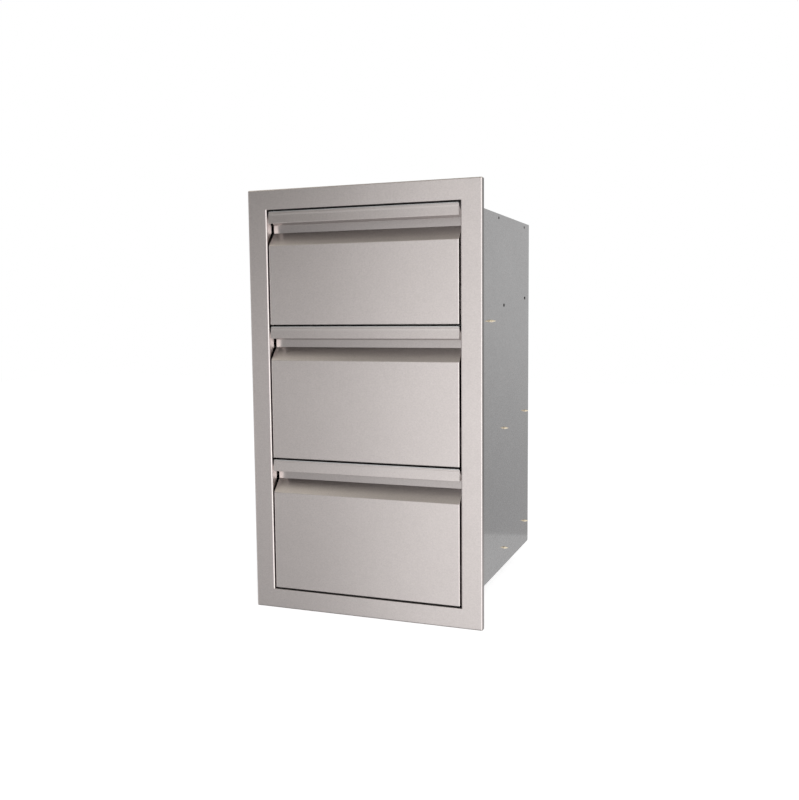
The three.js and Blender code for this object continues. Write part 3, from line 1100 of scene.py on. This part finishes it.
card("wall_front_left", azimuth=-40, distance=2.5, half_width=1.75, low=-1.3, high=2.12,
     across=(0.25, 1.32, 0.82, 1.5),
     upwards=((0.55, 1.12, 0, -0.72), (1.15, 1.65, 0, -0.09), (-1.0, 0.1, -0.32, 0)))
card("lamp_front_high", azimuth=-20, distance=2.6, half_width=1.7, low=2.15, high=2.62,
     across=(-0.5, 0.25, 0.35, 1.6))
card("floor_front", azimuth=-25, distance=2.6, half_width=1.7, low=-3.2, high=-1.3,
     across=(-0.25, 0.46, 0.3, 0.95))
card("key_left", azimuth=21, distance=2.2, half_width=0.55, low=-0.8, high=1.7,
     across=(-0.3, 0.4, 1.45, 1.75))
card("key_right", azimuth=42, distance=2.2, half_width=0.28, low=-0.8, high=1.7,
     across=(-0.2, 0.3, 1.75, 1.4), upwards=((0, 0.9, 0, -0.9),))
card("key_side", azimuth=66, distance=2.3, half_width=0.8, low=-0.9, high=2.4,
     across=(-0.1, 0.8, 1.0, 0.44))
card("wall_left", azimuth=-112, distance=2.5, half_width=2.0, low=-2.0, high=2.6,
     across=(-1, 1, 0.42, 0.42))
card("wall_right", azimuth=105, distance=2.5, half_width=2.0, low=-2.0, high=2.6,
     across=(-2, 2, 0.45, 0.36))
card("wall_back_right", azimuth=166, distance=2.9, half_width=1.4, low=-0.57, high=2.6,
     across=(-1, 1, 0.4, 0.4), upwards=((-0.5, 0.7, 0, 0.12),))
card("wall_back_left", azimuth=-166, distance=2.9, half_width=1.4, low=-2.0, high=2.6,
     across=(-1, 1, 0.42, 0.42))
card("floor_back_right", azimuth=166, distance=2.9, half_width=1.4, low=-2.0, high=-0.57,
     across=(-1, 1, 0.51, 0.51))


def ceiling():
    """A warm ceiling, for the pulls' slopes to reflect, that is brighter to the left."""
    place = Matrix.Translation((0, 0, 2.62))
    brighter_part = (-1.35, -1.0)
    levels = (1.0, 0.53)
    material, tree, glow = emitting("ceiling")
    glow.inputs["Color"].default_value = (1, 0.965, 0.87, 1)
    level = remap(tree, component(tree, "X", own_place(tree)), *brighter_part, *levels, smooth=True)
    tree.links.new(level, glow.inputs["Strength"])
    only_reflections(stage_plane("ceiling", (-3, -2.65), (3, 3), material, place))


ceiling()


def contact_shade():
    """The dark just under the unit, for the bottom bends to reflect."""
    half_width = 0.22
    front = FACE_Y - 2 * MM
    rear = front + 14 * MM
    place = Matrix.Translation((0, 0, trim_low.z - 0.5 * MM))
    material, _, glow = emitting("contact_shade")
    glow.inputs["Strength"].default_value = 0.35
    only_reflections(stage_plane("contact_shade", (-half_width, front), (half_width, rear), material, place))


contact_shade()


def floor():
    """A pale floor: white to the camera outside the unit's soft shadow."""
    half = 5
    glow_strength = 0.6
    material, tree = bare_material("floor")
    matte = tree.nodes.new("ShaderNodeBsdfDiffuse")
    matte.inputs["Color"].default_value = (0.8, 0.8, 0.8, 1)
    glow = tree.nodes.new("ShaderNodeEmission")
    level = calculate(tree, "MULTIPLY", seen_directly(tree), glow_strength)
    tree.links.new(level, glow.inputs["Strength"])
    both = tree.nodes.new("ShaderNodeAddShader")
    output = tree.nodes.new("ShaderNodeOutputMaterial")
    tree.links.new(matte.outputs[0], both.inputs[0])
    tree.links.new(glow.outputs[0], both.inputs[1])
    tree.links.new(both.outputs[0], output.inputs["Surface"])
    place = Matrix.Translation((0, 0, trim_low.z))
    piece = stage_plane("floor", (-half, -half), (half, half), material, place)
    piece.visible_glossy = False


floor()


def soft_light(name, azimuth, distance, size, height, power):
    """A large soft light that looks at the unit. Reflections see the key cards in its place."""
    aim_height = 0.35
    data = bpy.data.lights.new(name, "AREA")
    data.shape = "RECTANGLE"
    data.size, data.size_y = size
    data.energy = power
    lamp = bpy.data.objects.new(name, data)
    angle = math.radians(azimuth)
    centre = Vector((math.sin(angle) * distance, FACE_Y - math.cos(angle) * distance, height))
    aim = (Vector((0, FACE_Y, aim_height)) - centre).to_track_quat("-Z", "Y")
    lamp.matrix_world = Matrix.Translation(centre) @ aim.to_matrix().to_4x4()
    lamp.visible_glossy = False
    bpy.context.scene.collection.objects.link(lamp)


soft_light("key", azimuth=28, distance=2.2, size=(1.7, 1.9), height=0.75, power=32)

scene = bpy.context.scene
scene.view_settings.view_transform = "Standard"
